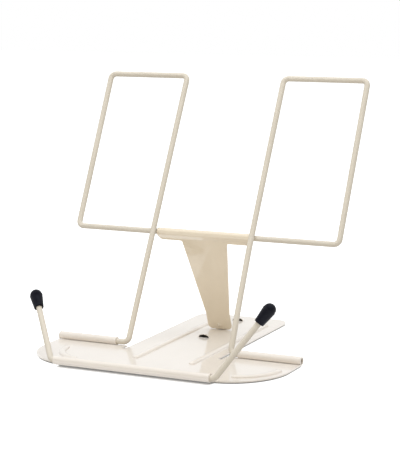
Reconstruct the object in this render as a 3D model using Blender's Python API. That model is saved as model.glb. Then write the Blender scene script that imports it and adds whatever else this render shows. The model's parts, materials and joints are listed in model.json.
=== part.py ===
"""Folding book stand: a stamped steel base plate, a bent wire back frame, a sheet prop
and two wire page arms with soft tips. Metres, +Z up, the reader sits at -Y.

Every piece is modelled round the axis that it turns on and then placed, so turning an
object about its own X axis moves it as the real hinge does."""
import math

import bmesh
import bpy
from mathutils import Matrix, Vector

MM = 0.001

# Stock and fits
WIRE_D = 4.2 * MM
SHEET = 1.0 * MM
FIT_GAP = 0.3 * MM
OVERRUN = 2.0 * MM
LAP = 2.4 * MM

# Base plate, measured from the rear hinge axis and the middle of the stand
STEM_WIDTH = 83.0 * MM
STEM_LENGTH = 131.0 * MM
STEM_CORNER_R = 12.0 * MM
LOBE_WIDTH = 215.9 * MM
LOBE_DEPTH = 70.85 * MM
LOBE_CORNER_R = 46.5 * MM
BARREL_INSET = 13.2 * MM
RELIEF_WIDTH = 3.2 * MM
RELIEF_DEPTH = 11.0 * MM
RELIEF_CORNER_R = 1.2 * MM

# Front lip, a hem rolled up from the plate's front edge
HEM_TAIL = 5.65 * MM
HEM_DEPTH = 76.4 * MM
HEM_LIFT = 1.0 * MM
HEM_RAMP = 3.2 * MM
HEM_WRAP_DEG = 308.0
REAR_WRAP_DEG = 308.0

# Stiffening beads pressed up into the plate
BEAD_WIDTH = 6.0 * MM
BEAD_HEIGHT = 1.9 * MM
BEAD_GROOVE_WIDTH = 4.2 * MM
BEAD_GROOVE_HEIGHT = 1.8 * MM
BEAD_END = 3.0 * MM
STEM_BEAD_SPACING = 49.0 * MM
STEM_BEAD_SHIFT = 5.2 * MM
STEM_BEAD_FRONT = 35.0 * MM
STEM_BEAD_REAR = 107.0 * MM
LOBE_BEAD_INSET = 14.6 * MM
LOBE_BEAD_SHIFT = 7.0 * MM
LOBE_BEAD_FROM_DEG = -80.0
LOBE_BEAD_TO_DEG = 0.0

# Catches for the prop's foot, half domes lanced up along the middle of the stem
CATCH_FIRST = 47.9 * MM
CATCH_PITCH = 32.8 * MM
CATCH_COUNT = 3
CATCH_IN_USE = 1
CATCH_WIDTH = 10.2 * MM
CATCH_LENGTH = 5.0 * MM
CATCH_HEIGHT = 2.7 * MM
CATCH_WALL = 0.7 * MM
CATCH_SHEAR = 0.1 * MM
DISH_LENGTH = 4.6 * MM
DISH_WIDTH = 9.0 * MM
DISH_DEPTH = 0.35 * MM

# Back frame, one bent wire; heights run along its legs from the hinge axis
FRAME_WIDTH = 240.2 * MM
FRAME_HEIGHT = 235.1 * MM
FRAME_LEAN_DEG = 28.74
LEG_SPACING = 89.0 * MM
CROSSBAR_HEIGHT = 97.1 * MM
FRAME_BEND_R = 4.5 * MM
HINGE_PIN_REACH = 90.0 * MM
WELD_D = 3.4 * MM

# Prop, rolled round the crossbar between the frame's legs
PROP_SIDE_GAP = 0.6 * MM
PROP_STRIP = 6.2 * MM
PROP_STRIP_CORNER = 2.7 * MM
PROP_OFFSET = 1.4 * MM
PROP_BLEND = 5.0 * MM
PROP_WRAP_DEG = 280.0
PROP_HEAD_WIDTH = 41.0 * MM
PROP_FOOT_WIDTH = 21.6 * MM
PROP_FILLET_R = 1.6 * MM
PROP_FOOT_R = 3.8 * MM
PROP_TAPER_END = 15.0 * MM
PROP_TAPER_R = 20.0 * MM
PROP_NOTCH_GAP = 0.6 * MM
PROP_NOTCH_RISE = 0.35 * MM
DIMPLE_D = 4.8 * MM
DIMPLE_DEPTH = 0.7 * MM
DIMPLE_CLEAR = 0.5 * MM
DIMPLE_RIM = 0.5 * MM

# Page arms, L-shaped wires that turn in the ends of the front lip
ARM_STANDOFF = 3.4 * MM
ARM_REACH = 70.4 * MM
ARM_SPLAY_DEG = 32.8
ARM_BEND_R = 5.0 * MM
ARM_LEAN_LEFT_DEG = 42.9
ARM_LEAN_RIGHT_DEG = 22.2
ARM_SHANK = 44.0 * MM

# Soft tips pushed over the arms' ends
TIP_D = 9.9 * MM
TIP_LENGTH = 17.0 * MM
TIP_MOUTH_D = 7.4 * MM
TIP_MOUTH_R = 0.6 * MM
TIP_NOSE = 4.9 * MM
TIP_STEP = 0.35 * MM
TIP_END_WALL = 2.2 * MM

# Non-slip pads stuck under the plate
PAD_D = 10.0 * MM
PAD_THICK = 0.8 * MM
PAD_BEVEL = 0.2 * MM
PAD_FRONT_ASIDE = 1.5 * MM
PAD_FRONT_AHEAD = 21.7 * MM
PAD_REAR_INSET = 12.0 * MM
PAD_REAR_EDGE = 15.0 * MM

# Counts for round stretches
TUBE_SIDES = 12
BEND_STEPS = 6
ROLL_STEP_DEG = 15.0
LOBE_STEPS = 16
CORNER_STEPS = 6
BEAD_STEPS = 12
BEAD_SIDES = 6
BEAD_END_DEG = (12.0, 40.0, 66.0, 90.0)
CATCH_SIDES = 12
CATCH_END_DEG = (0.0, 16.0, 32.0, 47.0, 61.0, 73.0, 82.0, 87.0)
NOTCH_STEPS = 7
BALL_SIDES = 20
BALL_RINGS = 10
BLEND_STEPS = 8
PAD_SIDES = 24
TIP_SIDES = 20

# Places that follow from the sizes
WIRE_R = WIRE_D / 2
ROLL_MID_R = WIRE_R + FIT_GAP + SHEET / 2
ROLL_OUTER_R = ROLL_MID_R + SHEET / 2
PLATE_TOP = PAD_THICK + FIT_GAP + SHEET
PIVOT_Y = (HEM_DEPTH + ROLL_OUTER_R - STEM_LENGTH) / 2
REAR_AXIS_Z = ROLL_OUTER_R - SHEET
HEM_AXIS_Z = REAR_AXIS_Z + HEM_LIFT
CROSSBAR_OFFSET = WIRE_D + FIT_GAP
SPAN = FRAME_WIDTH - WIRE_D
LOBE_X = LOBE_WIDTH / 2 - LOBE_CORNER_R
LOBE_Y = LOBE_CORNER_R - LOBE_DEPTH
HEM_HALF = LOBE_X + HEM_TAIL
ARM_CORNER = HEM_HALF + ARM_STANDOFF
PROP_WIDTH = LEG_SPACING - WIRE_D - 2 * PROP_SIDE_GAP

CREAM_SHEET = (0.860, 0.800, 0.700)
CREAM_WIRE = (0.820, 0.780, 0.670)
BLACK_VINYL = (0.015, 0.016, 0.024)
CLEAR_GREY = (0.420, 0.420, 0.400)


# Scene helpers
def clear_scene():
    for obj in list(bpy.data.objects):
        bpy.data.objects.remove(obj)


def paint(name, colour, roughness, metallic=0.0):
    material = bpy.data.materials.new(name)
    material.use_nodes = True
    shader = material.node_tree.nodes["Principled BSDF"]
    shader.inputs["Base Color"].default_value = (*colour, 1.0)
    shader.inputs["Roughness"].default_value = roughness
    shader.inputs["Metallic"].default_value = metallic
    return material


def make_object(name, bm):
    bmesh.ops.recalc_face_normals(bm, faces=bm.faces)
    mesh = bpy.data.meshes.new(name)
    bm.to_mesh(mesh)
    bm.free()
    obj = bpy.data.objects.new(name, mesh)
    bpy.context.scene.collection.objects.link(obj)
    return obj


def combine(target, tool, operation):
    """Join the tool to the target, or cut it out, and keep the plain result."""
    modifier = target.modifiers.new(operation.title(), "BOOLEAN")
    modifier.operation = operation
    modifier.solver = "EXACT"
    modifier.object = tool
    bpy.context.view_layer.update()
    depsgraph = bpy.context.evaluated_depsgraph_get()
    mesh = bpy.data.meshes.new_from_object(target.evaluated_get(depsgraph))
    target.modifiers.clear()
    target.data = mesh
    bpy.data.objects.remove(tool)


def finish(obj, material, location, turn_x=0.0, turn_y=0.0, parent=None):
    obj.data.materials.clear()
    obj.data.materials.append(material)
    obj.data.shade_smooth()
    obj.data.set_sharp_from_angle(angle=math.radians(35.0))
    obj.parent = parent
    obj.location = location
    obj.rotation_euler = (turn_x, turn_y, 0.0)
    return obj


# Outlines and paths
def arc_between(centre, start, angle, steps):
    """Points that swing a flat start point round a centre, both ends included."""
    points = []
    for step in range(steps + 1):
        offset = Vector(start) - Vector(centre)
        offset.rotate(Matrix.Rotation(angle * step / steps, 2))
        points.append(Vector(centre) + offset)
    return points


def rounded_outline(corners):
    """A closed flat outline from (x, y, corner radius, steps) entries."""
    points = []
    for index, (x, y, radius, steps) in enumerate(corners):
        corner = Vector((x, y))
        if radius == 0.0:
            points.append(corner)
            continue
        before = (Vector(corners[index - 1][:2]) - corner).normalized()
        after = (Vector(corners[(index + 1) % len(corners)][:2]) - corner).normalized()
        half = before.angle(after) / 2
        start = corner + before * radius / math.tan(half)
        centre = corner + (before + after).normalized() * radius / math.sin(half)
        swing = (math.pi - 2 * half) * math.copysign(1.0, after.cross(before))
        points.extend(arc_between(centre, start, swing, steps))
    return points


def with_mirror(half):
    """Repeat a right-hand outline, in reverse, on the left-hand side."""
    return half + [(-x, y, radius, steps) for x, y, radius, steps in reversed(half)]


def filleted_path(corners, radius):
    """A wire's centre line: straight runs with a round bend at each inner corner."""
    points = [Vector(corners[0])]
    for before, corner, after in zip(corners, corners[1:], corners[2:]):
        corner = Vector(corner)
        back = (Vector(before) - corner).normalized()
        ahead = (Vector(after) - corner).normalized()
        half = back.angle(ahead) / 2
        start = corner + back * radius / math.tan(half)
        centre = corner + (back + ahead).normalized() * radius / math.sin(half)
        axis = ahead.cross(back).normalized()
        for step in range(BEND_STEPS + 1):
            turn = Matrix.Rotation((math.pi - 2 * half) * step / BEND_STEPS, 3, axis)
            points.append(centre + turn @ (start - centre))
    points.append(Vector(corners[-1]))
    return points


def sheet_section(path):
    """The closed section of a bent sheet whose mid line is the path."""
    near = []
    far = []
    last = len(path) - 1
    for index, point in enumerate(path):
        along = (path[min(index + 1, last)] - path[max(index - 1, 0)]).normalized()
        normal = Vector((-along.y, along.x)) * SHEET / 2
        near.append(point + normal)
        far.append(point - normal)
    return near + far[::-1]


def roll_round(centre, start, wrap_deg):
    steps = round(abs(wrap_deg) / ROLL_STEP_DEG)
    return arc_between(centre, start, math.radians(wrap_deg), steps)


# Solids
def loft(bm, rings):
    """Skin a list of equal rings of points and close both ends."""
    skins = [[bm.verts.new(point) for point in ring] for ring in rings]
    count = len(skins[0])
    for first, second in zip(skins, skins[1:]):
        for step in range(count):
            after = (step + 1) % count
            bm.faces.new((first[step], first[after], second[after], second[step]))
    bm.faces.new(skins[0])
    bm.faces.new(skins[-1])


def add_tube(bm, points, radius):
    """A round bar along a path, its rings carried round the bends without twist."""
    last = len(points) - 1
    tangent = (points[1] - points[0]).normalized()
    side = tangent.orthogonal().normalized()
    rings = []
    for index, point in enumerate(points):
        along = (points[min(index + 1, last)] - points[max(index - 1, 0)]).normalized()
        side = tangent.rotation_difference(along) @ side
        tangent = along
        up = tangent.cross(side)
        angles = [2 * math.pi * step / TUBE_SIDES for step in range(TUBE_SIDES)]
        rings.append([point + (side * math.cos(a) + up * math.sin(a)) * radius for a in angles])
    loft(bm, rings)


def add_prism(bm, corners, direction):
    """Fill a closed outline of 3-D points and push the face along a direction."""
    face = bm.faces.new([bm.verts.new(corner) for corner in corners])
    grown = bmesh.ops.extrude_face_region(bm, geom=[face])
    moved = [item for item in grown["geom"] if isinstance(item, bmesh.types.BMVert)]
    bmesh.ops.translate(bm, verts=moved, vec=direction)


def add_rolled_strip(bm, path, left, right):
    """Sheet bent along a (y, z) path and running from left to right along X."""
    corners = [Vector((left, point.x, point.y)) for point in sheet_section(path)]
    add_prism(bm, corners, Vector((right - left, 0.0, 0.0)))


def bead_stations(length):
    """Shares of a bead's length, each with the share of its full section there."""
    ends = []
    for angle in BEAD_END_DEG:
        turn = math.radians(angle)
        ends.append((BEAD_END / length * (1.0 - math.cos(turn)), math.sin(turn)))
    start = ends[-1][0]
    middle = [(start + (1.0 - 2 * start) * step / BEAD_STEPS, 1.0) for step in range(1, BEAD_STEPS)]
    return ends + middle + [(1.0 - share, full) for share, full in reversed(ends)]


def add_bead(bm, place, length, width, bottom, base, top):
    """A ridge with rounded ends; place(share) gives its middle and its sideways direction."""
    rings = []
    for share, full in bead_stations(length):
        middle, sideways = place(share)
        section = [(width / 2 * full, bottom)]
        for step in range(1, BEAD_SIDES):
            angle = math.pi * step / BEAD_SIDES
            section.append((width / 2 * full * math.cos(angle), base + (top - base) * full * math.sin(angle)))
        section.append((-width / 2 * full, bottom))
        spots = [(middle + sideways * across, height) for across, height in section]
        rings.append([Vector((spot.x, spot.y, height)) for spot, height in spots])
    loft(bm, rings)


def add_hood(bm, mouth_y, width, length, height, bottom, lead):
    """A quarter of an ellipsoid, open to -Y, on walls that run down to bottom."""
    rings = []
    stations = [(-lead, 1.0)]
    for angle in CATCH_END_DEG:
        turn = math.radians(angle)
        stations.append((length * math.sin(turn), math.cos(turn)))
    if lead == 0.0:
        stations.pop(0)
    for ahead, full in stations:
        ring = [Vector((width / 2 * full, mouth_y + ahead, bottom))]
        for step in range(1, CATCH_SIDES):
            angle = math.pi * step / CATCH_SIDES
            across = width / 2 * full * math.cos(angle)
            ring.append(Vector((across, mouth_y + ahead, height * full * math.sin(angle))))
        ring.append(Vector((-width / 2 * full, mouth_y + ahead, bottom)))
        rings.append(ring)
    loft(bm, rings)


def add_ball(bm, centre, half_sizes):
    place = Matrix.Translation(centre) @ Matrix.Diagonal((*half_sizes, 1.0))
    bmesh.ops.create_uvsphere(bm, u_segments=BALL_SIDES, v_segments=BALL_RINGS, radius=1.0, matrix=place)


def turned(profile, sides):
    """Spin a (radius, height) profile round Z; it starts and ends on the axis."""
    bm = bmesh.new()
    verts = [bm.verts.new((radius, 0.0, height)) for radius, height in profile]
    edges = [bm.edges.new(pair) for pair in zip(verts, verts[1:])]
    bmesh.ops.spin(bm, geom=verts + edges, cent=(0.0, 0.0, 0.0), axis=(0.0, 0.0, 1.0),
                   angle=2 * math.pi, steps=sides, use_merge=True)
    bmesh.ops.remove_doubles(bm, verts=bm.verts, dist=FIT_GAP / 100)
    return bm


# Base plate
def plate_outline():
    stem = STEM_WIDTH / 2
    relief = stem + RELIEF_WIDTH
    side = LOBE_WIDTH / 2
    half = [
        (stem, STEM_LENGTH, STEM_CORNER_R, CORNER_STEPS),
        (stem, -RELIEF_DEPTH, RELIEF_CORNER_R, CORNER_STEPS),
        (relief, -RELIEF_DEPTH, RELIEF_CORNER_R, CORNER_STEPS),
        (relief, -LAP / 2, 0.0, 0),
        (stem + BARREL_INSET, -LAP / 2, 0.0, 0),
        (side, -LAP / 2, 0.0, 0),
        (side, -LOBE_DEPTH, LOBE_CORNER_R, LOBE_STEPS),
    ]
    return rounded_outline(with_mirror(half))


def rear_roll_path():
    """The plate's own sheet, flat to the hinge axis and then rolled up and over it."""
    start = Vector((0.0, -SHEET / 2))
    flat = [start - Vector((LAP, 0.0)), start - Vector((LAP / 4, 0.0))]
    return flat + roll_round((0.0, REAR_AXIS_Z), start, REAR_WRAP_DEG)


def hem_path():
    """The sheet steps up a ramp before the plate's edge and rolls up, over and back."""
    start = Vector((-HEM_DEPTH, HEM_LIFT - SHEET / 2))
    edge = Vector((-LOBE_DEPTH, -SHEET / 2))
    flat = [edge + Vector((LAP, 0.0)), edge - Vector((LAP / 4, 0.0)), edge - Vector((LAP / 2, 0.0))]
    ramp = [edge + Vector((-HEM_RAMP, HEM_LIFT))]
    return flat + ramp + roll_round((-HEM_DEPTH, HEM_AXIS_Z), start, -HEM_WRAP_DEG)


def stem_bead_place(side):
    def place(share):
        y = -STEM_BEAD_FRONT + (STEM_BEAD_REAR + STEM_BEAD_FRONT) * share
        return Vector((STEM_BEAD_SHIFT + side * STEM_BEAD_SPACING / 2, y)), Vector((1.0, 0.0))
    return place


def lobe_bead_place(side):
    centre = Vector((LOBE_BEAD_SHIFT + side * LOBE_X, LOBE_Y))

    def place(share):
        angle = math.radians(LOBE_BEAD_FROM_DEG + (LOBE_BEAD_TO_DEG - LOBE_BEAD_FROM_DEG) * share)
        outward = Vector((side * math.cos(angle), math.sin(angle)))
        return centre + outward * (LOBE_CORNER_R - LOBE_BEAD_INSET), outward
    return place


def add_beads(bm, width, bottom, base, top):
    stem_length = STEM_BEAD_REAR + STEM_BEAD_FRONT
    lobe_turn = math.radians(LOBE_BEAD_TO_DEG - LOBE_BEAD_FROM_DEG)
    lobe_length = (LOBE_CORNER_R - LOBE_BEAD_INSET) * lobe_turn
    for side in (-1.0, 1.0):
        add_bead(bm, stem_bead_place(side), stem_length, width, bottom, base, top)
        add_bead(bm, lobe_bead_place(side), lobe_length, width, bottom, base, top)


def catch_mouths():
    return [CATCH_FIRST + CATCH_PITCH * index for index in range(CATCH_COUNT)]


def raised_forms():
    """Everything that stands on the plate or runs off its edges."""
    bm = bmesh.new()
    inner = STEM_WIDTH / 2 + BARREL_INSET
    side = LOBE_WIDTH / 2
    add_rolled_strip(bm, rear_roll_path(), inner, side)
    add_rolled_strip(bm, rear_roll_path(), -side, -inner)
    add_rolled_strip(bm, hem_path(), -HEM_HALF, HEM_HALF)
    add_beads(bm, BEAD_WIDTH, -SHEET / 2, 0.0, BEAD_HEIGHT)
    for mouth in catch_mouths():
        add_hood(bm, mouth, CATCH_WIDTH, CATCH_LENGTH, CATCH_HEIGHT, -SHEET / 2, 0.0)
    return make_object("raised_forms", bm)


def pressed_hollows():
    """Grooves under the beads, the hollows of the catches and the dishes before them."""
    bm = bmesh.new()
    below = -SHEET - OVERRUN
    add_beads(bm, BEAD_GROOVE_WIDTH, below, -SHEET, BEAD_GROOVE_HEIGHT - SHEET)
    width = CATCH_WIDTH - 2 * CATCH_WALL
    for mouth in catch_mouths():
        add_hood(bm, mouth, width, CATCH_LENGTH - CATCH_WALL, CATCH_HEIGHT - CATCH_WALL, below, CATCH_SHEAR)
        centre = Vector((0.0, mouth - CATCH_SHEAR - FIT_GAP - DISH_LENGTH / 2, DISH_DEPTH))
        add_ball(bm, centre, (DISH_WIDTH / 2, DISH_LENGTH / 2, 2 * DISH_DEPTH))
    return make_object("pressed_hollows", bm)


def base_plate(material):
    bm = bmesh.new()
    corners = [Vector((point.x, point.y, -SHEET)) for point in plate_outline()]
    add_prism(bm, corners, Vector((0.0, 0.0, SHEET)))
    plate = make_object("base_plate", bm)
    combine(plate, raised_forms(), "UNION")
    combine(plate, pressed_hollows(), "DIFFERENCE")
    return finish(plate, material, (0.0, PIVOT_Y, PLATE_TOP))


# Back frame
def frame_path():
    leg = LEG_SPACING / 2
    outer = SPAN / 2
    half = [
        (HINGE_PIN_REACH, 0.0, 0.0),
        (leg, 0.0, 0.0),
        (leg, 0.0, FRAME_HEIGHT),
        (outer, 0.0, FRAME_HEIGHT),
        (outer, CROSSBAR_OFFSET, CROSSBAR_HEIGHT),
    ]
    corners = half + [(-x, y, z) for x, y, z in reversed(half)]
    return filleted_path(corners, FRAME_BEND_R)


def crossbar_welds():
    bm = bmesh.new()
    for side in (-1.0, 1.0):
        x = side * LEG_SPACING / 2
        front = Vector((x, WIRE_R / 2, CROSSBAR_HEIGHT))
        back = Vector((x, CROSSBAR_OFFSET - WIRE_R / 2, CROSSBAR_HEIGHT))
        add_tube(bm, [front, back], WELD_D / 2)
    return make_object("crossbar_welds", bm)


def back_frame(material):
    bm = bmesh.new()
    add_tube(bm, frame_path(), WIRE_R)
    frame = make_object("back_frame", bm)
    combine(frame, crossbar_welds(), "UNION")
    place = (0.0, PIVOT_Y, PLATE_TOP + REAR_AXIS_Z)
    return finish(frame, material, place, turn_x=-math.radians(FRAME_LEAN_DEG))


# Prop
def prop_pose():
    """The prop's lean and length, with its foot standing just before the catch in use."""
    lean = math.radians(FRAME_LEAN_DEG)
    bar_y = CROSSBAR_HEIGHT * math.sin(lean) + CROSSBAR_OFFSET * math.cos(lean)
    bar_z = REAR_AXIS_Z + CROSSBAR_HEIGHT * math.cos(lean) - CROSSBAR_OFFSET * math.sin(lean)
    mouth = CATCH_FIRST + CATCH_PITCH * CATCH_IN_USE
    tilt = 0.0
    for _ in range(8):
        foot_y = mouth - FIT_GAP - SHEET / 2 * math.cos(tilt)
        foot_z = FIT_GAP + SHEET / 2 * math.sin(tilt)
        reach = math.hypot(foot_y - bar_y, bar_z - foot_z)
        tilt = math.atan2(foot_y - bar_y, bar_z - foot_z) + math.asin(PROP_OFFSET / reach)
    return tilt, math.sqrt(reach * reach - PROP_OFFSET * PROP_OFFSET)


def prop_roll_path():
    """From the strip's lower edge up into the roll and nearly all the way round it."""
    flat = (PROP_STRIP - PROP_BLEND) / 4
    path = [Vector((-PROP_OFFSET, -PROP_STRIP)), Vector((-PROP_OFFSET, -PROP_BLEND - flat))]
    for step in range(BLEND_STEPS):
        share = 1.0 - step / BLEND_STEPS
        ease = share * share * (3.0 - 2.0 * share)
        path.append(Vector((-ROLL_MID_R + (ROLL_MID_R - PROP_OFFSET) * ease, -PROP_BLEND * share)))
    return path + roll_round((0.0, 0.0), (-ROLL_MID_R, 0.0), -PROP_WRAP_DEG)


def notch_height():
    return CATCH_HEIGHT + PROP_NOTCH_RISE


def tongue_outline(length):
    head = PROP_HEAD_WIDTH / 2
    shoulder = head + 2 * PROP_FILLET_R
    foot = PROP_FOOT_WIDTH / 2
    notch = CATCH_WIDTH / 2 + PROP_NOTCH_GAP
    half = [
        (shoulder, -(PROP_STRIP + PROP_BLEND) / 2, 0.0, 0),
        (shoulder, -PROP_STRIP, 0.0, 0),
        (head, -PROP_STRIP, PROP_FILLET_R, CORNER_STEPS),
        (foot, PROP_TAPER_END - length, PROP_TAPER_R, CORNER_STEPS),
        (foot, -length, PROP_FOOT_R, CORNER_STEPS),
    ]
    for step in range(NOTCH_STEPS):
        angle = math.pi / 2 * step / NOTCH_STEPS
        arch = (notch * math.cos(angle), notch_height() * math.sin(angle) - length)
        half.append((*arch, 0.0, 0))
    return rounded_outline(with_mirror(half))


def dimple_ball(length, face_y, radius):
    """A flat ball that stands DIMPLE_DEPTH in front of the face it is set into."""
    bm = bmesh.new()
    height = notch_height() + DIMPLE_CLEAR + DIMPLE_D / 2 - length
    add_ball(bm, Vector((0.0, face_y + DIMPLE_DEPTH, height)), (radius, 2 * DIMPLE_DEPTH, radius))
    return make_object("dimple_ball", bm)


def strip_corner_cuts():
    """Wedges that take the two lower corners off the strip under the roll."""
    bm = bmesh.new()
    for side in (-1.0, 1.0):
        inner = PROP_WIDTH / 2 - PROP_STRIP_CORNER - OVERRUN
        outer = PROP_WIDTH / 2 + OVERRUN
        low = -PROP_STRIP - OVERRUN
        high = -PROP_STRIP + PROP_STRIP_CORNER + OVERRUN
        front = -ROLL_OUTER_R - OVERRUN
        corners = [Vector((side * x, front, z)) for x, z in ((inner, low), (outer, low), (outer, high))]
        add_prism(bm, corners, Vector((0.0, ROLL_OUTER_R + OVERRUN, 0.0)))
    return make_object("strip_corner_cuts", bm)


def prop(material, frame):
    tilt, length = prop_pose()
    bm = bmesh.new()
    add_rolled_strip(bm, prop_roll_path(), -PROP_WIDTH / 2, PROP_WIDTH / 2)
    piece = make_object("prop", bm)
    bm = bmesh.new()
    front = -PROP_OFFSET - SHEET / 2
    corners = [Vector((point.x, front, point.y)) for point in tongue_outline(length)]
    add_prism(bm, corners, Vector((0.0, SHEET, 0.0)))
    combine(piece, make_object("tongue", bm), "UNION")
    combine(piece, strip_corner_cuts(), "DIFFERENCE")
    combine(piece, dimple_ball(length, front, DIMPLE_D / 2), "UNION")
    combine(piece, dimple_ball(length, front + SHEET, DIMPLE_D / 2 - DIMPLE_RIM), "DIFFERENCE")
    turn = tilt + math.radians(FRAME_LEAN_DEG)
    return finish(piece, material, (0.0, CROSSBAR_OFFSET, CROSSBAR_HEIGHT), turn_x=turn, parent=frame)


# Page arms and their tips
def page_arm(name, side, lean_deg, material):
    splay = math.radians(ARM_SPLAY_DEG)
    reach = ARM_REACH - TIP_END_WALL - FIT_GAP
    corners = [
        (side * (ARM_CORNER - ARM_SHANK), 0.0, 0.0),
        (side * ARM_CORNER, 0.0, 0.0),
        (side * (ARM_CORNER + reach * math.sin(splay)), 0.0, reach * math.cos(splay)),
    ]
    bm = bmesh.new()
    add_tube(bm, filleted_path(corners, ARM_BEND_R), WIRE_R)
    arm = make_object(name, bm)
    place = (0.0, PIVOT_Y - HEM_DEPTH, PLATE_TOP + HEM_AXIS_Z)
    return finish(arm, material, place, turn_x=-math.radians(lean_deg))


def tip_profile():
    bore = WIRE_R + FIT_GAP
    depth = TIP_LENGTH - TIP_END_WALL
    start = TIP_LENGTH - TIP_NOSE
    radius = TIP_D / 2 - TIP_STEP
    mouth = round_corner((TIP_MOUTH_D / 2 - TIP_MOUTH_R, TIP_MOUTH_R), (TIP_MOUTH_R, TIP_MOUTH_R), -90.0, 0.0)
    nose = round_corner((0.0, start), (radius, TIP_NOSE), 0.0, 90.0)
    return [(0.0, depth), (bore, depth), (bore, 0.0)] + mouth + [(TIP_D / 2, start - TIP_STEP)] + nose


def round_corner(centre, radii, from_deg, to_deg):
    """Profile points on a quarter of an ellipse, as (radius, height) pairs."""
    points = []
    for step in range(CORNER_STEPS + 1):
        angle = math.radians(from_deg + (to_deg - from_deg) * step / CORNER_STEPS)
        points.append((centre[0] + radii[0] * math.cos(angle), centre[1] + radii[1] * math.sin(angle)))
    return points


def arm_tip(name, side, material, arm):
    splay = math.radians(ARM_SPLAY_DEG)
    start = ARM_REACH - TIP_LENGTH
    tip = make_object(name, turned(tip_profile(), TIP_SIDES))
    place = (side * (ARM_CORNER + start * math.sin(splay)), 0.0, start * math.cos(splay))
    return finish(tip, material, place, turn_y=side * splay, parent=arm)


# Pads
def pad(name, x, y, material):
    radius = PAD_D / 2
    profile = [
        (0.0, 0.0),
        (radius - PAD_BEVEL, 0.0),
        (radius, PAD_BEVEL),
        (radius, PAD_THICK - PAD_BEVEL),
        (radius - PAD_BEVEL, PAD_THICK),
        (0.0, PAD_THICK),
    ]
    piece = make_object(name, turned(profile, PAD_SIDES))
    return finish(piece, material, (x, PIVOT_Y + y, 0.0))


def pads(material):
    rear_x = STEM_WIDTH / 2 - PAD_REAR_INSET
    rear_y = STEM_LENGTH - PAD_REAR_EDGE
    front_x = LOBE_X + PAD_FRONT_ASIDE
    front_y = LOBE_Y - PAD_FRONT_AHEAD
    pad("pad_front_left", -front_x, front_y, material)
    pad("pad_front_right", front_x, front_y, material)
    pad("pad_rear_left", -rear_x, rear_y, material)
    pad("pad_rear_right", rear_x, rear_y, material)


def build():
    clear_scene()
    sheet_paint = paint("cream_sheet_paint", CREAM_SHEET, 0.25)
    wire_paint = paint("cream_wire_paint", CREAM_WIRE, 0.3)
    vinyl = paint("black_vinyl", BLACK_VINYL, 0.35)
    rubber = paint("clear_grey_pad", CLEAR_GREY, 0.6)
    base_plate(sheet_paint)
    frame = back_frame(wire_paint)
    prop(sheet_paint, frame)
    left = page_arm("page_arm_left", -1.0, ARM_LEAN_LEFT_DEG, wire_paint)
    right = page_arm("page_arm_right", 1.0, ARM_LEAN_RIGHT_DEG, wire_paint)
    arm_tip("tip_left", -1.0, vinyl, left)
    arm_tip("tip_right", 1.0, vinyl, right)
    pads(rubber)


build()
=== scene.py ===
# %% [markdown]
# # A folding book stand in cream enamel
# The stand is all bent metal: a stamped steel plate, one long wire for the back frame, a
# sheet prop and two short wires that hold the pages. A measured model gives every size and
# place, so this lesson is about the finish: round wire, soft-edged sheet, gloss paint over
# steel, dipped vinyl tips, and the bright studio light that such a stand is pictured in.

# %% Load the measured frame
import json
import math

import bmesh
import bpy
from mathutils import Matrix, Vector


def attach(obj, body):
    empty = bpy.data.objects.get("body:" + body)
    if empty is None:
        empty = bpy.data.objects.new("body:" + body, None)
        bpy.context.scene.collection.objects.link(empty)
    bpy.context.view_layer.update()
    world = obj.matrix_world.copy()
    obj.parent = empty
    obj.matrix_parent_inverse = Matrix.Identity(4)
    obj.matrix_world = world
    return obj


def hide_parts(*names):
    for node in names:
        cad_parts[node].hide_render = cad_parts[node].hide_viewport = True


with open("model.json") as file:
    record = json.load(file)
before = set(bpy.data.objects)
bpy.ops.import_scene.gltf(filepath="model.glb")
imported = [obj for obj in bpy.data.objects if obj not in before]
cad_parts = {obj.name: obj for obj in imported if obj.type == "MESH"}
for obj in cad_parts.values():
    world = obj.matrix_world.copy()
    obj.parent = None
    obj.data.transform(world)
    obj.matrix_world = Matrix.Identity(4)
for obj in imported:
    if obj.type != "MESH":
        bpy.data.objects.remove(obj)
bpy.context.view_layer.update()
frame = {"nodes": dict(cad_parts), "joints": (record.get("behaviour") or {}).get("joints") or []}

MM = 0.001
PIXELS_WIDE = 400
PIXELS_HIGH = 457

joint_place = {}
for joint in frame["joints"]:
    joint_place[joint["name"]] = Vector(joint["pos_m"])
HINGE = joint_place["frame_fold"]
LIP_AXIS = joint_place["arm_left_turn"]
print("rear hinge at", HINGE, "lip at", LIP_AXIS)

# %% [markdown]
# ## The camera
# The straight wires and the edges of the plate fix where the photographer stood: about
# 1.3 m away, 27 degrees round to the reader's right and 10 degrees above the table. The lens
# is long, so the wires stay nearly parallel. Blender's lens value is the focal length in
# pixels, scaled from the picture's long side to its 36 mm sensor, and a tiny shift puts the
# picture's centre where the photograph has it.

# %% Place the camera
CAMERA_TURN = math.radians(26.66)
CAMERA_RISE = math.radians(10.17)
CAMERA_ROLL = math.radians(-0.77)
CAMERA_DISTANCE = 1309.0 * MM
AIM_ASIDE = 18.88 * MM
AIM_HEIGHT = 95.58 * MM
FOCAL_PIXELS = 1662.9
CENTRE_PIXEL = (199.20, 234.78)
SENSOR = 36.0

away = Vector((
    math.sin(CAMERA_TURN) * math.cos(CAMERA_RISE),
    -math.cos(CAMERA_TURN) * math.cos(CAMERA_RISE),
    math.sin(CAMERA_RISE),
))
aside = Vector((math.cos(CAMERA_TURN), math.sin(CAMERA_TURN), 0.0))
aim = Vector((0.0, HINGE.y, AIM_HEIGHT)) + aside * AIM_ASIDE
above = away.cross(aside)
turn = Matrix((aside, above, away)).transposed() @ Matrix.Rotation(CAMERA_ROLL, 3, "Z")

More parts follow.
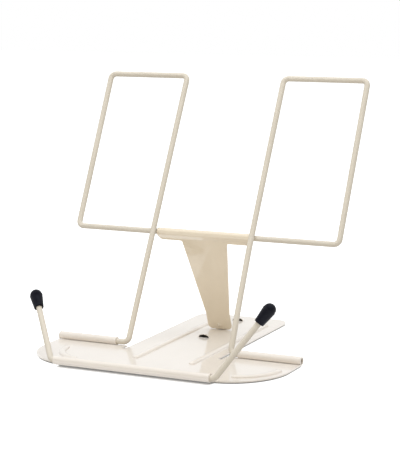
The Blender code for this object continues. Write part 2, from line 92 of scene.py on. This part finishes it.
camera_data = bpy.data.cameras.new("camera")
camera_data.sensor_width = SENSOR
camera_data.lens = FOCAL_PIXELS / PIXELS_HIGH * SENSOR
camera_data.shift_x = (PIXELS_WIDE / 2 - CENTRE_PIXEL[0]) / PIXELS_HIGH
camera_data.shift_y = (CENTRE_PIXEL[1] - PIXELS_HIGH / 2) / PIXELS_HIGH
camera = bpy.data.objects.new("camera", camera_data)
camera.matrix_world = Matrix.Translation(aim + away * CAMERA_DISTANCE) @ turn.to_4x4()
bpy.context.scene.collection.objects.link(camera)
bpy.context.scene.camera = camera
print("camera at", camera.location)

# %% [markdown]
# ## Small helpers for materials
# Every finish is a Principled shader with a few nodes in front of it. These helpers start a
# finish, add a node, and stretch, mix or combine what comes out of other nodes.

# %% Add and join nodes
def new_finish(name):
    material = bpy.data.materials.new(name)
    material.use_nodes = True
    tree = material.node_tree
    return material, tree, tree.nodes["Principled BSDF"]


def add_node(tree, kind, **settings):
    node = tree.nodes.new(kind)
    for key, value in settings.items():
        setattr(node, key, value)
    return node


def remap(tree, source, low, high, to_low, to_high):
    node = add_node(tree, "ShaderNodeMapRange")
    values = {"From Min": low, "From Max": high, "To Min": to_low, "To Max": to_high}
    for key, value in values.items():
        node.inputs[key].default_value = value
    tree.links.new(source, node.inputs["Value"])
    return node.outputs["Result"]


def blend_colours(tree, share, first, second):
    node = add_node(tree, "ShaderNodeMix", data_type="RGBA")
    tree.links.new(share, node.inputs["Factor"])
    for socket, colour in ((node.inputs["A"], first), (node.inputs["B"], second)):
        if isinstance(colour, tuple):
            socket.default_value = (*colour, 1.0)
        else:
            tree.links.new(colour, socket)
    return node.outputs["Result"]


def combine(tree, operation, first, second):
    node = add_node(tree, "ShaderNodeMath", operation=operation)
    tree.links.new(first, node.inputs[0])
    tree.links.new(second, node.inputs[1])
    return node.outputs[0]

# %% [markdown]
# ### Patterns
# Noise is read from the Object coordinates, which stay with a piece when it is moved and
# don't depend on the camera. The same few patterns serve every finish: soft clouds between
# two colours, a gloss that varies, a fine relief, and a share that is high on sharp edges.

# %% Make the patterns
CLOUD_BAND = (0.35, 0.65)
GLOSS_BAND = (0.3, 0.7)


def grain(tree, scale, detail, roughness=0.5):
    """A noise pattern in object space; scale is in features per metre."""
    place = add_node(tree, "ShaderNodeTexCoord")
    noise = add_node(tree, "ShaderNodeTexNoise")
    noise.inputs["Scale"].default_value = scale
    noise.inputs["Detail"].default_value = detail
    noise.inputs["Roughness"].default_value = roughness
    tree.links.new(place.outputs["Object"], noise.inputs["Vector"])
    return noise.outputs["Fac"]


def relief(tree, shader, height, depth, strength):
    bump = add_node(tree, "ShaderNodeBump")
    bump.inputs["Distance"].default_value = depth
    bump.inputs["Strength"].default_value = strength
    tree.links.new(height, bump.inputs["Height"])
    tree.links.new(bump.outputs["Normal"], shader.inputs["Normal"])


def edge_share(tree, radius, low, high):
    """Near 1 on sharp edges: the bevel node rounds the normal there, and the dot tells."""
    rounded = add_node(tree, "ShaderNodeBevel", samples=4)
    rounded.inputs["Radius"].default_value = radius
    plain = add_node(tree, "ShaderNodeNewGeometry")
    dot = add_node(tree, "ShaderNodeVectorMath", operation="DOT_PRODUCT")
    tree.links.new(rounded.outputs["Normal"], dot.inputs[0])
    tree.links.new(plain.outputs["Normal"], dot.inputs[1])
    return remap(tree, dot.outputs["Value"], high, low, 0.0, 1.0)


def cloudy(tree, scale, colour, other):
    """Drift between two colours in soft clouds."""
    cloud = remap(tree, grain(tree, scale, detail=4.0), *CLOUD_BAND, 0.0, 1.0)
    return blend_colours(tree, cloud, colour, other)


def uneven_gloss(tree, shader, scale, roughness, spread):
    smoothest, roughest = roughness + spread[0], roughness + spread[1]
    gloss = remap(tree, grain(tree, scale, detail=3.0), *GLOSS_BAND, smoothest, roughest)
    tree.links.new(gloss, shader.inputs["Roughness"])

# %% [markdown]
# ## Cream enamel
# The steel is powder coated in a warm cream and comes out glossy, with the faint orange-peel
# ripple that cured powder leaves. On the real stand the colour thins a little on sharp edges
# and the gloss varies by a few hundredths, so both are patterns and not single values. A
# thin clear coat makes the mirror that the plate shows at a low view. Plate, prop and wire
# are one paint, mixed from one recipe in three tones that paint in light and shade: the
# prop's yellower tone is painted light bounced up from the plate, and the wire's greyer tone
# is painted shade. The wire has no coat, or its round sides would mirror the white room and
# look too thin. The plate also has a little sheen, which lifts it where the light only grazes
# it.

# %% Mix the enamel
CLOUD_SCALE = 26.0
CHIP_SCALE = 900.0
GLOSS_SCALE = 140.0
PEEL_SCALE = 520.0
PEEL_DEPTH = 0.05 * MM
PEEL_STRENGTH = 0.08
WORN_EDGE = 0.25 * MM
EDGE_BAND = (0.80, 0.97)
CHIP_BAND = (0.50, 0.62)
CHIP_SHARE = (0.15, 0.55)
PAINT_SPREAD = (-0.04, 0.05)
PAINT_IOR = 1.5
COAT_IOR = 1.7
COAT_ROUGHNESS = 0.03
HAZE_ROUGHNESS = 0.35


def enamel(name, colour, deeper, worn, roughness, shine, coat, haze):
    material, tree, shader = new_finish(name)
    tone = cloudy(tree, CLOUD_SCALE, colour, deeper)
    edges = edge_share(tree, WORN_EDGE, *EDGE_BAND)
    specks = grain(tree, CHIP_SCALE, detail=3.0, roughness=0.6)
    chips = remap(tree, specks, *CHIP_BAND, *CHIP_SHARE)
    tone = blend_colours(tree, combine(tree, "MULTIPLY", edges, chips), tone, worn)
    tree.links.new(tone, shader.inputs["Base Color"])
    uneven_gloss(tree, shader, GLOSS_SCALE, roughness, PAINT_SPREAD)
    peel = grain(tree, PEEL_SCALE, detail=2.0, roughness=0.4)
    relief(tree, shader, peel, PEEL_DEPTH, PEEL_STRENGTH)
    shader.inputs["IOR"].default_value = PAINT_IOR
    shader.inputs["Specular IOR Level"].default_value = shine
    shader.inputs["Coat Weight"].default_value = coat
    shader.inputs["Coat IOR"].default_value = COAT_IOR
    shader.inputs["Coat Roughness"].default_value = COAT_ROUGHNESS
    shader.inputs["Sheen Weight"].default_value = haze
    shader.inputs["Sheen Roughness"].default_value = HAZE_ROUGHNESS
    return material


plate_enamel = enamel(
    "cream_plate_enamel",
    colour=(0.80, 0.735, 0.66), deeper=(0.77, 0.705, 0.63), worn=(0.84, 0.78, 0.71),
    roughness=0.40, shine=0.5, coat=1.0, haze=0.60,
)
# The prop's yellower colours are painted light, bounced up from the plate.
prop_enamel_painted_bounce = enamel(
    "cream_prop_enamel",
    colour=(0.79, 0.69, 0.535), deeper=(0.76, 0.66, 0.505), worn=(0.83, 0.76, 0.66),
    roughness=0.34, shine=0.5, coat=1.0, haze=0.0,
)
# The wire's greyer colours are painted shade on the same cream paint.
wire_enamel_painted_shade = enamel(
    "cream_wire_enamel",
    colour=(0.675, 0.62, 0.53), deeper=(0.645, 0.59, 0.50), worn=(0.75, 0.69, 0.60),
    roughness=0.50, shine=0.12, coat=0.0, haze=0.0,
)
print("mixed", plate_enamel.name, prop_enamel_painted_bounce.name, "and", wire_enamel_painted_shade.name)

# %% [markdown]
# ## Dipped vinyl, pad rubber and painted shade
# The tips are dipped in black plastisol: a blue-black skin, a soft low gloss, and a very fine
# skin texture. The pads under the plate are plain grey rubber. The hollows under the catches
# get a near-black finish that is painted shade, standing in for the shadow inside them.

# %% Mix the soft finishes
SOFT_CLOUD_SCALE = 180.0
SOFT_GLOSS_SCALE = 420.0
SOFT_SPREAD = (-0.06, 0.08)
SOFT_SHINE = 0.10
SKIN_STRENGTH = 0.4


def soft_finish(name, colour, lighter, roughness, skin_scale, skin_depth):
    material, tree, shader = new_finish(name)
    tone = cloudy(tree, SOFT_CLOUD_SCALE, colour, lighter)
    tree.links.new(tone, shader.inputs["Base Color"])
    uneven_gloss(tree, shader, SOFT_GLOSS_SCALE, roughness, SOFT_SPREAD)
    skin = grain(tree, skin_scale, detail=3.0, roughness=0.6)
    relief(tree, shader, skin, skin_depth, SKIN_STRENGTH)
    shader.inputs["Specular IOR Level"].default_value = SOFT_SHINE
    return material


# Near-black painted shade for the hollows under the catches, not a colour the steel has.
catch_painted_shade = soft_finish(
    "catch_painted_shade", colour=(0.030, 0.026, 0.022), lighter=(0.055, 0.048, 0.040),
    roughness=0.60, skin_scale=1800.0, skin_depth=0.04 * MM,
)
vinyl = soft_finish(
    "black_vinyl", colour=(0.005, 0.005, 0.009), lighter=(0.010, 0.011, 0.017),
    roughness=0.42, skin_scale=2600.0, skin_depth=0.02 * MM,
)
pad_rubber = soft_finish(
    "pad_rubber", colour=(0.30, 0.30, 0.29), lighter=(0.36, 0.36, 0.34),
    roughness=0.62, skin_scale=3200.0, skin_depth=0.05 * MM,
)
print("mixed", catch_painted_shade.name, vinyl.name, "and", pad_rubber.name)

# %% [markdown]
# ## Round wire
# A real wire is drawn, then bent round a pin. The same moves make it here: a circle is
# pushed along each straight run and spun round each bend, so the section stays round and
# the bend keeps its radius. The bend's centre follows from the corner and the radius. The
# photograph shows the wire a little thicker than the measured model's 4.2 mm, so it is drawn
# 4.6 mm thick, which still turns freely in its 4.8 mm bores.

# %% Draw and bend a wire
WIRE_RADIUS = 2.3 * MM
WIRE_SIDES = 32
BEND_STEPS = 10


def ring_at(bm, centre, direction, radius, sides):
    made = bmesh.ops.create_circle(bm, segments=sides, radius=radius)
    turn_to = direction.to_track_quat("Z", "Y").to_matrix().to_4x4()
    bmesh.ops.transform(bm, matrix=Matrix.Translation(centre) @ turn_to, verts=made["verts"])
    return list(dict.fromkeys(edge for vert in made["verts"] for edge in vert.link_edges))


def pushed(bm, ring, move):
    grown = bmesh.ops.extrude_edge_only(bm, edges=ring)["geom"]
    verts = [item for item in grown if isinstance(item, bmesh.types.BMVert)]
    bmesh.ops.translate(bm, verts=verts, vec=move)
    return [item for item in grown if isinstance(item, bmesh.types.BMEdge)
            and all(vert in verts for vert in item.verts)]


def bent(bm, ring, centre, axis, angle):
    verts = list(dict.fromkeys(vert for edge in ring for vert in edge.verts))
    spun = bmesh.ops.spin(bm, geom=verts + ring, cent=centre, axis=axis, angle=angle,
                          steps=BEND_STEPS, use_merge=False, dvec=(0.0, 0.0, 0.0))
    return [item for item in spun["geom_last"] if isinstance(item, bmesh.types.BMEdge)]


def bent_wire(corners, bend_radius):
    bm = bmesh.new()
    corners = [Vector(corner) for corner in corners]
    here = corners[0]
    ring = ring_at(bm, here, (corners[1] - corners[0]).normalized(), WIRE_RADIUS, WIRE_SIDES)
    bm.faces.new(list(bm.verts))
    for before, corner, after in zip(corners, corners[1:], corners[2:]):
        back = (before - corner).normalized()
        ahead = (after - corner).normalized()
        half = back.angle(ahead) / 2
        start = corner + back * bend_radius / math.tan(half)
        centre = corner + (back + ahead).normalized() * bend_radius / math.sin(half)
        ring = pushed(bm, ring, start - here)
        ring = bent(bm, ring, centre, ahead.cross(back).normalized(), math.pi - 2 * half)
        here = corner + ahead * bend_radius / math.tan(half)
    ring = pushed(bm, ring, corners[-1] - here)
    bmesh.ops.edgeloop_fill(bm, edges=ring)
    bmesh.ops.recalc_face_normals(bm, faces=bm.faces)
    return bm

# %% [markdown]
# ## Keeping and dressing a piece
# A finished mesh becomes an object in place, shaded smooth except across its sharp edges.
# Dressing it gives it its finish and the body that it moves with, and hides the measured
# solid that it stands for.

# %% Keep and dress a piece
SMOOTH_DEG = 38.0


def keep_piece(name, bm, smooth_deg=SMOOTH_DEG):
    mesh = bpy.data.meshes.new(name)
    bm.to_mesh(mesh)
    bm.free()
    mesh.shade_smooth()
    mesh.set_sharp_from_angle(angle=math.radians(smooth_deg))
    piece = bpy.data.objects.new(name, mesh)
    bpy.context.scene.collection.objects.link(piece)
    return piece


def dress(piece, material, body, slot, *nodes):
    piece.data.materials.append(material)
    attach(piece, body)
    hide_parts(*nodes)
    print(piece.name, len(piece.data.polygons), "faces on", body)

# %% [markdown]
# ## The back frame
# One wire makes the whole frame: out of the left barrel, up the left leg, round the left
# loop, along the crossbar, round the right loop and down into the right barrel. It leans
# back 28.7 degrees about the rear hinge. The crossbar passes just behind the legs, so the
# outer sides of the loops slope back a little towards it. Such a wire is never quite true:
# in the photograph the right leg springs outwards by 2.7 mm on its way down, so it does here.

# %% Bend the back frame
FRAME_LEAN = math.radians(28.74)
LEG_X = 44.5 * MM
OUTER_X = 118.0 * MM
FRAME_TOP = 235.1 * MM
BAR_UP = 97.1 * MM
BAR_BACK = 4.5 * MM
PIN_END = 90.0 * MM
FRAME_BEND = 4.5 * MM
LEG_SPRING = 2.7 * MM
SPRING_CURVE = 1.3
SPRING_CUTS = 12
MERGE_GAP = 0.001 * MM

lean_back = Matrix.Translation(HINGE) @ Matrix.Rotation(-FRAME_LEAN, 4, "X")
right_half = [
    (PIN_END, 0.0, 0.0),
    (LEG_X, 0.0, 0.0),
    (LEG_X, 0.0, FRAME_TOP),
    (OUTER_X, 0.0, FRAME_TOP),
    (OUTER_X, BAR_BACK, BAR_UP),
]
route = right_half + [(-x, y, z) for x, y, z in reversed(right_half)]


def spring_leg_out(bm):
    """Ease the right leg outwards from the crossbar down to the barrel."""
    for step in range(1, SPRING_CUTS):
        level = (0.0, 0.0, BAR_UP * step / SPRING_CUTS)
        everything = bm.verts[:] + bm.edges[:] + bm.faces[:]
        bmesh.ops.bisect_plane(bm, geom=everything, dist=MERGE_GAP, plane_co=level,
                               plane_no=(0.0, 0.0, 1.0))
    for vert in bm.verts:
        if vert.co.x > 0.0 and vert.co.z < BAR_UP:
            share = min(1.0, 1.0 - vert.co.z / BAR_UP)
            vert.co.x += LEG_SPRING * share ** SPRING_CURVE


wire = bent_wire(route, FRAME_BEND)
spring_leg_out(wire)
bmesh.ops.transform(wire, matrix=lean_back, verts=wire.verts)
back_wire = keep_piece("back_wire", wire)
dress(back_wire, wire_enamel_painted_shade, "frame", "wire_paint", "back_frame")

# %% [markdown]
# ## Sheet parts with soft edges
# The plate and the prop are cut and pressed from millimetre sheet, and the paint rounds
# every edge. Their measured solids have the right form, so each is copied, its loose
# triangles are merged and its flat areas joined into single faces, and then a fine bevel
# takes the sharp edges off. Weighted normals keep the flat faces flat beside the bevels.

# %% Soften the edges of a sheet part
SHEET_MERGE_GAP = 0.002 * MM
FLAT_DEG = 0.5
SHEET_SMOOTH_DEG = 32.0
PAINT_ROUND = 0.18 * MM
SHEET_FOLD_DEG = 50.0


def soft_sheet(node, name, edge_radius, fold_deg, reshape=None):
    bm = bmesh.new()
    bm.from_mesh(frame["nodes"][node].data)
    bmesh.ops.remove_doubles(bm, verts=bm.verts, dist=SHEET_MERGE_GAP)
    if reshape:
        reshape(bm)
    bmesh.ops.dissolve_limit(bm, angle_limit=math.radians(FLAT_DEG), verts=bm.verts,
                             edges=bm.edges)
    sharp = [edge for edge in bm.edges
             if edge.is_manifold and edge.calc_face_angle() > math.radians(fold_deg)]
    bmesh.ops.bevel(bm, geom=sharp, affect="EDGES", offset=edge_radius, offset_type="OFFSET",
                    segments=2, profile=0.5, clamp_overlap=True, material=-1)
    bmesh.ops.triangulate(bm, faces=[face for face in bm.faces if len(face.verts) > 4])
    piece = keep_piece(name, bm, SHEET_SMOOTH_DEG)
    shading = piece.modifiers.new("flat faces stay flat", "WEIGHTED_NORMAL")
    shading.weight = 100
    shading.keep_sharp = True
    return piece

# %% [markdown]
# ### The plate
# The plate is one stamping, with its lip, its barrels, its beads and its catches. The faces in
# the hollow under each catch get a near-black finish: painted shade for the shadow in there.

# %% Finish the plate
CATCH_MOUTHS = (47.9 * MM, 80.7 * MM, 113.5 * MM)
CATCH_HALF = Vector((4.6 * MM, 4.5 * MM, 2.25 * MM))
CATCH_LIP = 0.05 * MM
PLATE_TOP = 2.1 * MM


def darken_catches(piece, painted_shade):
    """Paint shade into the hollow under each catch: its faces get the near-black finish."""
    piece.data.materials.append(painted_shade)
    for face in piece.data.polygons:
        for mouth in CATCH_MOUTHS:
            offset = face.center - Vector((0.0, HINGE.y + mouth, PLATE_TOP))
            from_middle = sum((offset[axis] / CATCH_HALF[axis]) ** 2 for axis in range(3))
            if offset.y > -CATCH_LIP and from_middle < 1.0:
                face.material_index = 1


plate = soft_sheet("base_plate", "stamped_plate", PAINT_ROUND, SHEET_FOLD_DEG)
dress(plate, plate_enamel, "base", "sheet_paint", "base_plate")
# The catch hollows get painted shade.
darken_catches(plate, catch_painted_shade)

# %% [markdown]
# ### The prop
# The solid's foot has an arch that clears the catches as it moves. The real foot is straight
# and is lifted over them by hand, so the arch is closed here. The dimple sits 1.9 mm lower
# and stands a little further out, which gives it the bright spot that the photograph shows.

# %% Finish the prop
PROP_LEAN = math.radians(19.93)
FOOT_MIDDLE = 5.9 * MM
FOOT_HEIGHT = 3.3 * MM
DIMPLE_RISE = 5.95 * MM
DIMPLE_RADIUS = 2.6 * MM
DIMPLE_DROP = 1.9 * MM
DIMPLE_SWELL = 0.8 * MM


def whole_foot(bm):
    """Bring the arch in the middle of the foot down to the foot's straight edge."""
    down = Vector((0.0, math.sin(PROP_LEAN), -math.cos(PROP_LEAN)))
    ahead = Vector((0.0, -math.cos(PROP_LEAN), -math.sin(PROP_LEAN)))
    foot = max(vert.co.dot(down) for vert in bm.verts)
    for vert in bm.verts:
        rise = foot - vert.co.dot(down)
        if abs(vert.co.x) < FOOT_MIDDLE and rise < FOOT_HEIGHT:
            vert.co += down * rise
            continue
        off_centre = math.hypot(vert.co.x, rise - DIMPLE_RISE) / DIMPLE_RADIUS
        if off_centre < 1.0:
            vert.co += down * DIMPLE_DROP + ahead * (DIMPLE_SWELL * (1.0 - off_centre ** 2))


prop_sheet = soft_sheet("prop", "prop_sheet", PAINT_ROUND, SHEET_FOLD_DEG, whole_foot)
dress(prop_sheet, prop_enamel_painted_bounce, "prop", "sheet_paint", "prop")

# %% [markdown]
# ## The page arms
# Each arm is a short L of the same wire. Its shank turns inside the end of the rolled lip,
# and the arm itself splays 33 degrees outwards. In the photograph the left arm is tipped
# back by 43 degrees and the right one by 22.

# %% Bend the page arms
ARM_CORNER = 70.5 * MM
ARM_SHANK = 44.0 * MM
ARM_REACH = 70.4 * MM
ARM_SPLAY = math.radians(32.8)
ARM_BEND = 5.0 * MM
TIP_END_WALL = 2.2 * MM
TIP_GAP = 0.3 * MM
ARM_LEAN = {"left": math.radians(42.9), "right": math.radians(22.2)}
SIDE_SIGN = {"left": -1.0, "right": 1.0}


def arm_space(side):
    return Matrix.Translation(LIP_AXIS) @ Matrix.Rotation(-ARM_LEAN[side], 4, "X")


def point_on_arm(side, reach):
    """A point on the arm's middle line, measured from its corner."""
    outwards = ARM_CORNER + reach * math.sin(ARM_SPLAY)
    return (SIDE_SIGN[side] * outwards, 0.0, reach * math.cos(ARM_SPLAY))


def page_arm(side):
    corners = [
        (SIDE_SIGN[side] * (ARM_CORNER - ARM_SHANK), 0.0, 0.0),
        point_on_arm(side, 0.0),
        point_on_arm(side, ARM_REACH - TIP_END_WALL - TIP_GAP),
    ]
    bm = bent_wire(corners, ARM_BEND)
    bmesh.ops.transform(bm, matrix=arm_space(side), verts=bm.verts)
    arm = keep_piece("page_wire_" + side, bm)
    dress(arm, wire_enamel_painted_shade, "arm_" + side, "wire_paint", "page_arm_" + side)


page_arm("left")
page_arm("right")

# %% [markdown]
# ## The vinyl tips
# A vinyl tip is a turned form. It is narrow at its mouth, grows in a straight taper to a
# shoulder with a crisp rim, and closes in a blunt nose. Its outline is spun round the arm.
# The photograph shows the tips a little fuller than the measured model has them, by a
# quarter of a millimetre all round and 0.8 mm in length, so they are drawn that way.

# %% Turn the tips
TIP_RADIUS = 5.2 * MM
TIP_LENGTH = 17.8 * MM
MOUTH_RADIUS = 3.9 * MM
MOUTH_EDGE = 0.6 * MM
NOSE_LENGTH = 4.9 * MM
RIM_STEP = 0.35 * MM
RIM_ROUND = 0.12 * MM
TIP_SIDES = 48
MOUTH_STEPS = 6
NOSE_STEPS = 12


def arc(centre, size, first_deg, last_deg, steps):
    """Points on an ellipse, each a radius from the arm and a height along it."""
    points = []
    for step in range(steps + 1):
        angle = math.radians(first_deg + (last_deg - first_deg) * step / steps)
        radius = centre[0] + size[0] * math.cos(angle)
        points.append((radius, centre[1] + size[1] * math.sin(angle)))
    return points


def tip_outline():
    bore = WIRE_RADIUS + TIP_GAP
    bore_end = TIP_LENGTH - TIP_END_WALL
    nose_start = TIP_LENGTH - NOSE_LENGTH
    rim = nose_start - RIM_STEP
    mouth = arc((MOUTH_RADIUS - MOUTH_EDGE, MOUTH_EDGE), (MOUTH_EDGE, MOUTH_EDGE),
                -90.0, 0.0, MOUTH_STEPS)
    crisp_rim = [
        (TIP_RADIUS - RIM_ROUND / 4, rim - RIM_ROUND),
        (TIP_RADIUS, rim),
        (TIP_RADIUS - RIM_ROUND / 2, rim + RIM_ROUND),
    ]
    nose = arc((0.0, nose_start), (TIP_RADIUS - RIM_STEP, NOSE_LENGTH), 0.0, 90.0, NOSE_STEPS)
    return [(0.0, bore_end), (bore, bore_end), (bore, 0.0)] + mouth + crisp_rim + nose


def vinyl_tip(side):
    bm = bmesh.new()
    verts = [bm.verts.new((radius, 0.0, height)) for radius, height in tip_outline()]
    edges = [bm.edges.new(pair) for pair in zip(verts, verts[1:])]
    bmesh.ops.spin(bm, geom=verts + edges, cent=(0.0, 0.0, 0.0), axis=(0.0, 0.0, 1.0),
                   dvec=(0.0, 0.0, 0.0), angle=2 * math.pi, steps=TIP_SIDES, use_merge=True)
    bmesh.ops.remove_doubles(bm, verts=bm.verts, dist=MERGE_GAP)
    bmesh.ops.recalc_face_normals(bm, faces=bm.faces)
    seat = Matrix.Translation(point_on_arm(side, ARM_REACH - TIP_LENGTH))
    splay = Matrix.Rotation(SIDE_SIGN[side] * ARM_SPLAY, 4, "Y")
    bmesh.ops.transform(bm, matrix=arm_space(side) @ seat @ splay, verts=bm.verts)
    tip = keep_piece("vinyl_tip_" + side, bm)
    dress(tip, vinyl, "arm_" + side, "vinyl", "tip_" + side)


vinyl_tip("left")
vinyl_tip("right")

# %% [markdown]
# ## The pads
# Four thin rubber pads lift the plate about a millimetre and keep it from sliding. Only the
# gap that they make shows in the photograph, so copies of the measured solids with their
# edges taken off are enough.

# %% Soften the pads
PAD_ROUND = 0.1 * MM
PAD_FOLD_DEG = 40.0

for node in ("pad_front_left", "pad_front_right", "pad_rear_left", "pad_rear_right"):
    pad = soft_sheet(node, node.replace("pad", "grip_pad"), PAD_ROUND, PAD_FOLD_DEG)
    dress(pad, pad_rubber, "base", "pad", node)

# %% [markdown]
# ## Floor, backdrop and light
# The photograph has a pure white ground with only a hint of contact shadow, and the paint
# mirrors that white. So the floor and the world show plain white to the camera, while the
# light that falls on the stand is gentler: a soft overhead panel, a weak one from the front
# right and an even sky, cooler from above and warmer from the sides. The floor's own glow
# fades within a few millimetres of the stand, where an occlusion node finds it covered, and
# that leaves the thin dark line of contact. In reflections the sky darkens towards the
# camera, as a room does behind a photographer, which gives the round wires their shading.

# %% Lay the floor
FLOOR_SIZE = 6.0
FLOOR_GREY = (0.62, 0.62, 0.62, 1.0)
FLOOR_ROUGHNESS = 0.9
FLOOR_SHINE = 0.1
FLOOR_GLOW = 0.80
SHADE_GLOW = 0.10
SHADE_REACH = 3.5 * MM
SHADE_FULL = 0.20
SHADE_GONE = 0.48


def white_floor():
    bm = bmesh.new()
    bmesh.ops.create_grid(bm, x_segments=1, y_segments=1, size=FLOOR_SIZE / 2)
    floor = keep_piece("floor", bm)
    material, tree, shader = new_finish("floor_white")
    shader.inputs["Base Color"].default_value = FLOOR_GREY
    shader.inputs["Roughness"].default_value = FLOOR_ROUGHNESS
    shader.inputs["Specular IOR Level"].default_value = FLOOR_SHINE
    rays = add_node(tree, "ShaderNodeLightPath").outputs
    seen = combine(tree, "MAXIMUM", rays["Is Camera Ray"], rays["Is Glossy Ray"])
    seen = combine(tree, "MAXIMUM", seen, rays["Is Transmission Ray"])
    nearness = add_node(tree, "ShaderNodeAmbientOcclusion", samples=16)
    nearness.inputs["Distance"].default_value = SHADE_REACH
    fading = remap(tree, nearness.outputs["AO"], SHADE_FULL, SHADE_GONE,
                   SHADE_GLOW, FLOOR_GLOW)
    glow = add_node(tree, "ShaderNodeEmission")
    tree.links.new(combine(tree, "MULTIPLY", seen, fading), glow.inputs["Strength"])
    both = add_node(tree, "ShaderNodeAddShader")
    tree.links.new(shader.outputs[0], both.inputs[0])
    tree.links.new(glow.outputs[0], both.inputs[1])
    tree.links.new(both.outputs[0], tree.nodes["Material Output"].inputs["Surface"])
    floor.data.materials.append(material)
    print("floor", FLOOR_SIZE, "m wide, contact shadow within", SHADE_REACH / MM, "mm")


white_floor()

# %% [markdown]
# ### Sky and lamps
# For the light that falls on the stand, the sky's strength and tint are mixed from two
# values by height. What the paint mirrors is white and fades towards the camera's side. The
# camera itself sees plain white. The two panels don't show in the paint, where they would
# look like windows.

# %% Hang the sky and the lamps
SKY_TOP = 0.76
SKY_SIDE = 0.57
TINT_TOP = (0.93, 0.96, 1.0)
TINT_SIDE = (1.0, 0.905, 0.75)
WHITE = (1.0, 1.0, 1.0)
SKY_HIGH = 0.8
ROOM_GLEAM = 0.25
ROOM_BAND = (0.1, 0.8)
UP = (0.0, 0.0, 1.0)
FRONT = (math.sin(CAMERA_TURN), -math.cos(CAMERA_TURN), 0.0)
STAND_MIDDLE = Vector((0.0, 0.0, 0.05))


def blend_values(tree, share, first, second):
    node = add_node(tree, "ShaderNodeMix", data_type="FLOAT")
    tree.links.new(share, node.inputs["Factor"])
    for socket, value in ((node.inputs["A"], first), (node.inputs["B"], second)):
        if isinstance(value, float):
            socket.default_value = value
        else:
            tree.links.new(value, socket)
    return node.outputs["Result"]


def along(tree, heading, direction, low, high, to_low, to_high):
    """Change from one value to the other as the heading turns towards a direction."""
    towards = add_node(tree, "ShaderNodeVectorMath", operation="DOT_PRODUCT")
    towards.inputs[1].default_value = direction
    tree.links.new(heading, towards.inputs[0])
    return remap(tree, towards.outputs["Value"], low, high, to_low, to_high)


def white_sky():
    world = bpy.data.worlds.new("studio")
    bpy.context.scene.world = world
    world.use_nodes = True
    tree = world.node_tree
    background = tree.nodes["Background"]
    rays = add_node(tree, "ShaderNodeLightPath").outputs
    heading = add_node(tree, "ShaderNodeTexCoord").outputs["Generated"]
    height = along(tree, heading, UP, 0.0, SKY_HIGH, 0.0, 1.0)
    daylight = blend_values(tree, height, SKY_SIDE, SKY_TOP)
    gleam = along(tree, heading, FRONT, *ROOM_BAND, 1.0, ROOM_GLEAM)
    lit = blend_values(tree, rays["Is Glossy Ray"], daylight, gleam)
    seen = combine(tree, "MAXIMUM", rays["Is Camera Ray"], rays["Is Transmission Ray"])
    strength = blend_values(tree, seen, lit, 1.0)
    tree.links.new(strength, background.inputs["Strength"])
    plain = combine(tree, "MAXIMUM", seen, rays["Is Glossy Ray"])
    tint = blend_colours(tree, height, TINT_SIDE, TINT_TOP)
    tint = blend_colours(tree, plain, tint, WHITE)
    tree.links.new(tint, background.inputs["Color"])
    print("sky from", SKY_SIDE, "at the horizon to", SKY_TOP, "overhead")


def soft_panel(name, place, size, watts, tint):
    light = bpy.data.lights.new(name, "AREA")
    light.color = tint
    light.shape = "SQUARE"
    light.size = size
    light.energy = watts
    lamp = bpy.data.objects.new(name, light)
    lamp.location = place
    aim_at = STAND_MIDDLE - Vector(place)
    lamp.rotation_euler = aim_at.to_track_quat("-Z", "Y").to_euler()
    lamp.visible_glossy = False
    bpy.context.scene.collection.objects.link(lamp)
    print(name, "of", watts, "W at", place)


white_sky()
soft_panel("overhead_panel", place=(0.0, -0.10, 1.40), size=1.2, watts=13.0, tint=TINT_TOP)
soft_panel("front_panel", place=(0.55, -1.40, 0.35), size=1.0, watts=4.0, tint=TINT_SIDE)

scene = bpy.context.scene
scene.view_settings.view_transform = "Standard"
